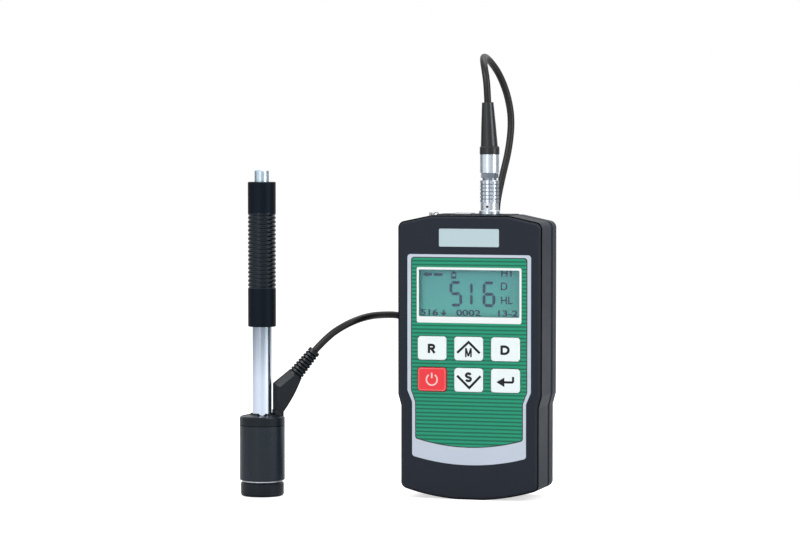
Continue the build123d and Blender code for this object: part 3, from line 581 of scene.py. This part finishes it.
# Colour, its tint where it is worn, roughness, then the scale and depth (mm) of the grain
look = {
    "case": caseSkin(),
    "panel": moulded("panelBlack", **caseBlack),
    "silver": moulded("silverPrint", (0.50, 0.56, 0.66), (0.54, 0.6, 0.7), 0.42, 900.0, 0.004,
                      metallic=0.1),
    "green": filmGreen(),
    "dark": newMaterial("darkPrint", (0.01, 0.02, 0.018), 0.4),
    "plate": moulded("labelPlate", (0.43, 0.56, 0.60), (0.47, 0.6, 0.64), 0.4, 1200.0, 0.004,
                     metallic=0.1),
    "white": moulded("keyWhite", (0.81, 0.89, 0.90), (0.85, 0.93, 0.94), 0.42, 1300.0, 0.006),
    "red": moulded("keyRed", (0.80, 0.013, 0.028), (0.85, 0.025, 0.04), 0.4, 1300.0, 0.006),
    "pink": newMaterial("symbolPale", (0.9, 0.6, 0.58), 0.4),
    "keyEdge": newMaterial("keyEdge", (0.85, 0.2, 0.18), 0.4),
    "legend": newMaterial("legendBlack", (0.005, 0.006, 0.009), 0.5, specular=0.25),
    "border": newMaterial("windowWhite", (0.87, 0.9, 0.9), 0.4),
    "screen": screenTeal(),
    "ink": newMaterial("screenInk", screen["ink"], 0.5),
    "pane": clearPane(),
    "board": moulded("boardGreen", (0.01, 0.07, 0.03), (0.015, 0.09, 0.04), 0.4),
    "rubber": moulded("softBlack", (0.005, 0.008, 0.011), (0.007, 0.010, 0.014), 0.3, 2200.0, 0.004),
    "plugBlack": moulded("plugBlack", (0.002, 0.005, 0.008), (0.003, 0.007, 0.011), 0.3, 2200.0, 0.004,
                         specular=0.3),
    "cable": moulded("cableSheath", (0.007, 0.0065, 0.0065), (0.010, 0.009, 0.009), 0.42, 1600.0, 0.008,
                     specular=0.3),
    "strap": moulded("strapBlack", (0.012, 0.012, 0.013), (0.02, 0.02, 0.021), 0.8, 3000.0, 0.06),
    "redDot": newMaterial("redDot", (0.06, 0.008, 0.01), 0.4),
    "anodised": anodisedSleeve(),
    "housing": housingBlack(),
    "ringBlack": turnedMetal("ringBlack", (0.005, 0.009, 0.014), (0.007, 0.012, 0.018), 0.3, metallic=0.0,
                             specular=0.2),
    "bright": brightTube(),
    # painted shade: dark between the studs of the sleeve and on the neck of the plug body
    "studs": plugNickel("studdedNickel", plug["studFoot"], fromAxis),
    "plugMetal": plugNickel("plugNickel", plug["neckEdge"], fromNeck),
    "button": turnedMetal("buttonSteel", (0.52, 0.64, 0.74), (0.58, 0.70, 0.80), 0.3, ringDepth=0.0001),
    "nickel": turnedMetal("satinNickel", (0.66, 0.72, 0.8), (0.7, 0.76, 0.84), 0.26, ringDepth=0.0001),
    "nut": turnedMetal("nutNickel", (0.38, 0.40, 0.44), (0.42, 0.44, 0.48), 0.3),
    "steel": turnedMetal("groundSteel", (0.5, 0.5, 0.53), (0.55, 0.55, 0.58), 0.25),
    "darkSteel": turnedMetal("darkSteel", (0.12, 0.12, 0.13), (0.15, 0.15, 0.16), 0.35),
    "copper": turnedMetal("windingCopper", (0.6, 0.25, 0.12), (0.65, 0.3, 0.15), 0.3),
    "brass": turnedMetal("contactStrip", (0.65, 0.6, 0.5), (0.7, 0.65, 0.55), 0.3),
    "cell": turnedMetal("cellSleeve", (0.3, 0.31, 0.33), (0.34, 0.35, 0.37), 0.35, metallic=0.6),
}
print("materials made:", len(look))

nodesIn = {
    "case": ["front_case", "rear_case"], "panel": ["battery_cover", "connector_panel"],
    "silver": ["keypad_overlay"], "plate": ["name_plate"], "pane": ["display_window"],
    "screen": ["lcd_module"], "board": ["main_board"], "brass": ["battery_contacts"],
    "cell": ["battery_left", "battery_right"], "nickel": ["probe_socket"], "nut": ["socket_nut"],
    "white": ["key_return", "key_menu", "key_device", "key_store", "key_enter"], "red": ["key_power"],
    "ringBlack": ["support_ring", "coil_cap"], "housing": ["coil_housing"], "copper": ["coil_winding"],
    "bright": ["guide_tube"], "anodised": ["loading_tube", "tube_cap"], "button": ["release_button"],
    "steel": ["dome_switches", "battery_springs", "data_socket", "lanyard_eye", "impact_body", "catch_rod",
              "catch", "button_spring", "impact_spring", "loading_spring"],
    "darkSteel": ["case_screws", "magnet", "test_tip"], "plugMetal": ["connector_body"],
    "studs": ["connector_sleeve"], "rubber": ["cable_boot"], "plugBlack": ["probe_plug", "strain_relief"],
    "strap": ["cable_tie"],
}
for finish, names in nodesIn.items():
    for nodeName in names:
        mesh = nodes[nodeName].data
        mesh.materials.clear()
        mesh.materials.append(look[finish])


def place(piece, body, finish):
    piece.data.materials.append(look[finish])
    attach(piece, body)


# The cable: one line from the boot, over the loop, round the coil and on to the impact device
# order, steps and sides say how smooth it is; the coil's angles and moves from lane to lane are in degrees
cable = {
    "thick": 3.2, "length": 1.17, "order": 3, "steps": 6, "sides": 5,
    "boot": [(40.106, 9.6, 177.383), (39.802, 9.6, 185.277)],
    "upper": [(38.1, 11.9, 192.4), (35.6, 18.2, 197.2), (34.0, 26.8, 198.4), (34.6, 35.4, 196.2),
              (37.0, 42.3, 190.4), (39.8, 46.0, 181.2), (41.8, 46.2, 170.0), (41.2, 43.6, 156.4),
              (38.6, 40.2, 142.8), (36.6, 37.0, 128.8), (38.2, 34.8, 114.6), (44.6, 34.0, 101.4),
              (53.0, 33.4, 88.4), (58.6, 33.0, 73.0), (60.2, 33.0, 56.0), (60.4, 33.6, 39.0),
              (59.2, 35.6, 24.0), (56.4, 39.8, 12.0), (52.0, 46.2, 4.2)],
    "lower": [(6.4, 34.0, 18.6), (7.8, 33.2, 26.4), (9.6, 34.2, 36.8), (10.6, 35.6, 48.6),
              (9.8, 36.8, 60.6), (6.4, 37.0, 70.8), (-0.2, 34.6, 77.6), (-7.6, 29.2, 80.2),
              (-12.0, 21.4, 80.6), (-15.2, 13.2, 80.6), (-19.0, 5.4, 79.5), (-24.2, -0.8, 76.7),
              (-30.6, -4.8, 72.0), (-35.98, -7.25, 65.6)],
}
coil = {
    "x": 24.0, "y": 50.0, "points": 20, "from": 10.0, "to": 211.0, "turns": 6, "pitch": 3.22,
    "inner": 15.25, "floor": 2.1,
    # three lanes inwards on the bottom, three outwards above them, then the outer lane on top
    "lanes": [(2, 0), (1, 0), (0, 0), (0, 1), (1, 1), (2, 1), (2, 2)],
    "moves": [(360, 396), (720, 756), (1044, 1080), (1368, 1404), (1728, 1764), (2052, 2088)],
}


def coilPoints():
    lanes, step = coil["lanes"], 360.0 / coil["points"]
    swell = 1 / math.cos(math.radians(step / 2))
    points = []
    angle = coil["from"] + step
    last = coil["turns"] * 360 + coil["to"] - step
    while angle <= last:
        travelled = angle - coil["from"]
        lane = Vector(lanes[0])
        for (start, stop), before, after in zip(coil["moves"], lanes, lanes[1:]):
            share = min(1.0, max(0.0, (travelled - start) / (stop - start)))
            lane += (Vector(after) - Vector(before)) * share
        radius = (coil["inner"] + coil["pitch"] * lane.x) * swell
        turn = math.radians(angle)
        points.append((coil["x"] + radius * math.cos(turn), coil["y"] + radius * math.sin(turn),
                       coil["floor"] + coil["pitch"] * lane.y))
        angle += step
    return points


def addCable():
    route = cable["boot"] + cable["upper"] + coilPoints() + cable["lower"]
    curve = bpy.data.curves.new("cable", "CURVE")
    curve.dimensions = "3D"
    curve.bevel_depth, curve.bevel_resolution = cable["thick"] / 2 * mm, cable["sides"]
    curve.use_fill_caps = True
    line = curve.splines.new("NURBS")
    line.points.add(len(route) - 1)
    for point, (x, y, z) in zip(line.points, route):
        point.co = (x * mm, y * mm, z * mm, 1.0)
    line.order_u, line.resolution_u = cable["order"], cable["steps"]
    line.use_endpoint_u = True
    piece = bpy.data.objects.new("cable", curve)
    bpy.context.scene.collection.objects.link(piece)
    place(piece, "base", "cable")
    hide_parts("cable_upper", "cable_coil", "cable_lower")
    print("cable laid:", len(route), "points")


# Print on the unit's face: outline is how far the dark field shows round the green one, lift how far the
# first stands out, and through the depths that the openings are cut from and to
film = {"greenHalf": 26.45, "greenLowHalf": 24.5, "greenTop": 108.0, "greenCorner": 27.4, "greenLow": 23.8,
        "shoulderTop": 48.6, "shoulderLow": 43.4, "shoulderRound": 3, "round": 1.5, "bowSteps": 8,
        "outline": 0.42, "lift": 0.02, "back": 0.01, "through": (-1, 1)}
keyPlaces = {"key_return": (-16.95, 67.7), "key_menu": (0.0, 67.7), "key_device": (16.95, 67.7),
             "key_power": (-16.95, 53.7), "key_store": (0.0, 53.7), "key_enter": (16.95, 53.7)}
keySize = {"width": 13.2, "height": 10.6, "gap": 0.25, "corner": 1.4}
window = {
    "half": 24.2, "low": 79.0, "high": 103.9, "corner": 0.8, "clear": 0.1, "front": -0.01, "back": 0.02,
}


def fieldOutline(grow):
    # green field with its shoulders and bowed lower edge
    half, lowHalf = film["greenHalf"] + grow, film["greenLowHalf"] + grow
    corner, low, top = film["greenCorner"] - grow, film["greenLow"] - grow, film["greenTop"] + grow
    shoulder, end, last = film["shoulderRound"], film["round"], film["bowSteps"]
    bow = [(lowHalf * i / last, low + (corner - low) * (i / last) ** 2, end if abs(i) == last else 0)
           for i in range(-last, last + 1)]
    right = [(lowHalf, film["shoulderLow"], shoulder), (half, film["shoulderTop"], shoulder),
             (half, top, end)]
    return rounded(bow + right + [(-x, z, radius) for x, z, radius in reversed(right)])


def addField(name, grow, lift, finish):
    # the keys and the window have their openings in it
    gap, middle = keySize["gap"], (window["low"] + window["high"]) / 2
    width, height, corner = keySize["width"] + 2 * gap, keySize["height"] + 2 * gap, keySize["corner"] + gap
    openings = [softBox(x, z, width, height, corner) for x, z in keyPlaces.values()]
    tall = window["high"] - window["low"]
    openings.append(softBox(0, middle, 2 * window["half"], tall, window["corner"]))
    cutters = [linked("cutter", plate(opening, *film["through"])) for opening in openings]
    piece = carved(linked(name, plate(fieldOutline(grow), -lift, film["back"])), cutters)
    place(piece, "base", finish)


def addWindowPrint():
    # white border printed on the window, wider below the screen, and the walls between window and screen
    width, height = 2 * window["half"] - window["clear"], window["high"] - window["low"] - window["clear"]
    outer = softBox(0, (window["low"] + window["high"]) / 2, width, height, window["corner"])
    middle, tall = (screen["low"] + screen["high"]) / 2, screen["high"] - screen["low"]
    wide, corner = 2 * screen["half"], screen["corner"]
    border = hollowPlate(outer, softBox(0, middle, wide, tall, corner), window["front"], window["back"])
    place(linked("windowPrint", border), "base", "border")
    sides = [softBox(0, middle, wide + grow, tall + grow, corner) for grow in screen["walls"]]
    walls = hollowPlate(*sides, screen["wallFront"], screen["behind"])
    place(linked("lightFrame", walls), "base", "screen")


# What the display shows, in mm on the unit's face
segment = {"wide": 4.5, "tall": 10.1, "stroke": 1.35, "gap": 0.2, "lit": {"5": "afgcd", "6": "afgedc"}}
shown = {
    "digits": [("5", -6.6, 92.0), ("6", 8.7, 92.0)],
    "one": {"x": 0.6, "ends": [(92.0, 97.1), (86.9, 92.0)], "stroke": 1.2},
    "arrow": [[(-22.0, 100.5), (-19.8, 101.7), (-19.8, 99.3)], box(-18.7, 100.5, 2.2, 1.2),
              box(-14.8, 100.5, 4.0, 1.2)],
    "battery": [box(-7.6, 101.2, 2.4, 0.7), box(-7.6, 99.2, 2.4, 1.1), box(-8.6, 100.3, 0.4, 1.3),
                box(-6.6, 100.3, 0.4, 1.3), box(-7.6, 101.8, 1.1, 0.5)],
    "downArrow": [box(-12.2, 83.9, 0.8, 1.6), [(-13.8, 83.5), (-10.6, 83.5), (-12.2, 82.1)]],
    "words": [  # text, size, middle x and z, how much it is stretched
        ("D", 4.8, 15.6, 95.4, 1.0), ("HL", 4.8, 16.7, 89.2, 0.95), ("H1", 4.4, 17.0, 101.3, 1.1),
        ("516", 3.8, -18.9, 83.4, 1.45), ("0002", 3.8, -0.8, 83.4, 1.5), ("13-2", 3.8, 17.0, 83.4, 1.45),
    ],
    "wordWeight": 0.09, "wordThick": 0.03, "wordSteps": 4,
}


def bar(x0, z0, x1, z1, width):
    # one display segment with pointed ends
    along = Vector((x1 - x0, z1 - z0)).normalized()
    across = Vector((-along.y, along.x)) * width / 2
    a, b = Vector((x0, z0)) + along * segment["gap"], Vector((x1, z1)) - along * segment["gap"]
    inner = along * width / 2
    return [tuple(p) for p in (a, a + inner + across, b - inner + across, b, b - inner - across,
                               a + inner - across)]


def digit(symbol, x, z):
    wide, tall = segment["wide"], segment["tall"]
    left, right, low, mid, top = x - wide / 2, x + wide / 2, z - tall / 2, z, z + tall / 2
    ends = {"a": (left, top, right, top), "c": (right, low, right, mid), "d": (left, low, right, low),
            "e": (left, low, left, mid), "f": (left, mid, left, top), "g": (left, mid, right, mid)}
    return [bar(*ends[s], segment["stroke"]) for s in segment["lit"][symbol]]


def word(text, size, x, z, stretch, front):
    # text as thin closed solids, upright and stretched sideways
    curve = bpy.data.curves.new("word", "FONT")
    curve.body, curve.size, curve.offset = text, size, shown["wordWeight"]
    curve.extrude, curve.align_x, curve.align_y = shown["wordThick"] / 2, "CENTER", "CENTER"
    curve.resolution_u = shown["wordSteps"]
    written = bpy.data.objects.new("word", curve)
    bpy.context.scene.collection.objects.link(written)
    mesh = bpy.data.meshes.new_from_object(written.evaluated_get(bpy.context.evaluated_depsgraph_get()))
    bpy.data.objects.remove(written)
    bpy.data.curves.remove(curve)
    bm = bmesh.new()
    bm.from_mesh(mesh)
    bpy.data.meshes.remove(mesh)
    bmesh.ops.remove_doubles(bm, verts=bm.verts[:], dist=1e-5)
    bmesh.ops.scale(bm, vec=(stretch, 1, 1), verts=bm.verts[:])
    bmesh.ops.rotate(bm, verts=bm.verts[:], matrix=Matrix.Rotation(math.radians(90), 3, "X"))
    bmesh.ops.translate(bm, verts=bm.verts[:], vec=(x, front + shown["wordThick"] / 2, z))
    toUnit(bm)
    return bm


def addScreenInk():
    front, back = screen["behind"] - screen["inkFront"], screen["behind"] + screen["inkBack"]
    outlines = [outline for entry in shown["digits"] for outline in digit(*entry)]
    one = shown["one"]
    outlines += [bar(one["x"], low, one["x"], high, one["stroke"]) for low, high in one["ends"]]
    outlines += shown["arrow"] + shown["battery"] + shown["downArrow"]
    parts = [plate(outline, front, back) for outline in outlines]
    parts += [word(*entry, front) for entry in shown["words"]]
    place(merged("screenInk", parts), "base", "ink")


# Legends on the keys: bold letters drawn as lines on a grid one letter high, and symbols in mm
letterLines = {
    "R": [[(-0.3, 0.0), (-0.3, 1.0)], [(-0.3, 0.89), *arc(0.05, 0.69, 0.23, 0.2, 90, -90), (-0.3, 0.49)],
          [(-0.02, 0.52), (0.33, 0.0)]],
    "D": [[(-0.38, 0.0), (-0.38, 1.0)],
          [(-0.38, 0.89), *arc(-0.04, 0.5, 0.43, 0.39, 90, -90), (-0.38, 0.11)]],
    "M": [[(-0.29, 0.0), (-0.29, 1.0)], [(0.29, 0.0), (0.29, 1.0)], [(-0.27, 0.96), (0.0, 0.1)],
          [(0.27, 0.96), (0.0, 0.1)]],
    "S": [arc(0.0, 0.71, 0.26, 0.2, 15, 265) + arc(0.0, 0.29, 0.27, 0.2, 85, -165)],
}
legend = {
    "front": -0.73, "back": -0.69, "apart": 0.004, "tall": 4.1,
    # letter, its middle from the key's middle, weight
    "letters": {"return": ("R", -0.1, -0.2, 0.265), "device": ("D", -0.1, -0.3, 0.265),
                "menu": ("M", 0.0, -1.7, 0.17), "store": ("S", 0.0, 1.3, 0.265)},
    "lines": {"menu": [(-5.2, -1.9), (0.1, 3.0), (5.2, -1.9)],
              "store": [(-5.2, 1.9), (0.4, -3.5), (5.6, 1.9)]},
    "lineWidth": 1.05,
    "arrowHead": [(-4.1, -0.6), (-0.4, 1.5), (-0.4, -2.7)],
    "arrowTail": [(-0.8, -0.6), (3.2, -0.6), (3.6, -0.2), (3.6, 1.9)], "tailWidth": 1.0,
}
power = {
    "drop": 0.1, "radius": 2.5, "width": 0.65, "opening": 70, "steps": 28, "stemRise": 1.7,
    "stem": (0.7, 2.4), "edge": (0.8, 1.3), "edgeDrop": 0.02,
}


def drawLetter(symbol, x, z, weight):
    # each line lies a hair behind the one before it
    plates, tall = [], legend["tall"]
    for i, line in enumerate(letterLines[symbol]):
        points = [(x + px * tall, z + (pz - 0.5) * tall) for px, pz in line]
        front = legend["front"] + legend["apart"] * i
        plates.append(plate(stroke(points, weight * tall), front, legend["back"]))
    return plates


def openRing(x, z, front, back):
    # flat ring open at the top, spun from its own section
    bm = bmesh.new()
    start = math.radians(90 + power["opening"] / 2)
    inner, outer = power["radius"] - power["width"] / 2, power["radius"] + power["width"] / 2
    corners = ((inner, front), (outer, front), (outer, back), (inner, back))
    face = bm.faces.new([bm.verts.new((r, y, 0)) for r, y in corners])
    bmesh.ops.rotate(bm, verts=bm.verts[:], matrix=Matrix.Rotation(-start, 3, "Y"))
    bmesh.ops.spin(bm, geom=[face, *face.edges, *face.verts], cent=(0, 0, 0), axis=(0, -1, 0),
                   angle=math.radians(360 - power["opening"]), steps=power["steps"], use_duplicate=False)
    bmesh.ops.recalc_face_normals(bm, faces=bm.faces[:])
    bmesh.ops.translate(bm, verts=bm.verts[:], vec=(x, 0, z))
    toUnit(bm)
    return bm


def addLegends():
    front, back = legend["front"], legend["back"]

    def onKey(key, points):
        x, z = keyPlaces["key_" + key]
        return [(x + dx, z + dz) for dx, dz in points]

    parts = {}
    for key, (symbol, dx, dz, weight) in legend["letters"].items():
        parts[key] = drawLetter(symbol, *onKey(key, [(dx, dz)])[0], weight)
    for key, points in legend["lines"].items():
        parts[key].append(plate(stroke(onKey(key, points), legend["lineWidth"]), front, back))
    tail = stroke(onKey("enter", legend["arrowTail"]), legend["tailWidth"])
    parts["enter"] = [plate(onKey("enter", legend["arrowHead"]), front, back), plate(tail, front, back)]
    for key, plates in parts.items():
        place(merged("legend_" + key, plates), key + "_key", "legend")


def addPowerSymbol():
    # ring and stem, and the pale line round the key's face
    front, back = legend["front"], legend["back"]
    x, z = keyPlaces["key_power"]
    stem = plate(box(x, z + power["stemRise"], *power["stem"]), front, back)
    symbol = merged("legend_power", [openRing(x, z - power["drop"], front, back), stem])
    place(symbol, "power_key", "pink")
    edge = [softBox(x, z, keySize["width"] - cut, keySize["height"] - cut, keySize["corner"] - cut / 2)
            for cut in power["edge"]]
    border = hollowPlate(*edge, front + power["edgeDrop"], back)
    place(linked("powerBorder", border), "power_key", "keyEdge")


# Red paint in the dimple on the socket's barrel
dot = {"radius": 0.57, "deep": 0.2, "ahead": 3.78, "height": 130.7, "sides": 24}


def addIndexDot():
    bm = bmesh.new()
    radius = dot["radius"] * mm
    bmesh.ops.create_cone(bm, cap_ends=True, segments=dot["sides"], radius1=radius, radius2=radius,
                          depth=dot["deep"] * mm)
    bmesh.ops.rotate(bm, verts=bm.verts[:], matrix=Matrix.Rotation(math.radians(90), 3, "X"))
    bmesh.ops.translate(bm, verts=bm.verts[:], vec=(plugX, plugY - dot["ahead"] * mm, dot["height"] * mm))
    place(linked("indexDot", bm), "base", "redDot")


addCamera()
addLamps()
addSky()
addFloor()
print("studio set up")
addCable()
addField("filmOutline", film["outline"], film["lift"], "dark")
addField("filmGreen", 0.0, 2 * film["lift"], "green")
addWindowPrint()
print("film and window printed")
addScreenInk()
addLegends()
addPowerSymbol()
addIndexDot()
print("display and legends made")

bpy.context.scene.view_settings.view_transform = "Standard"
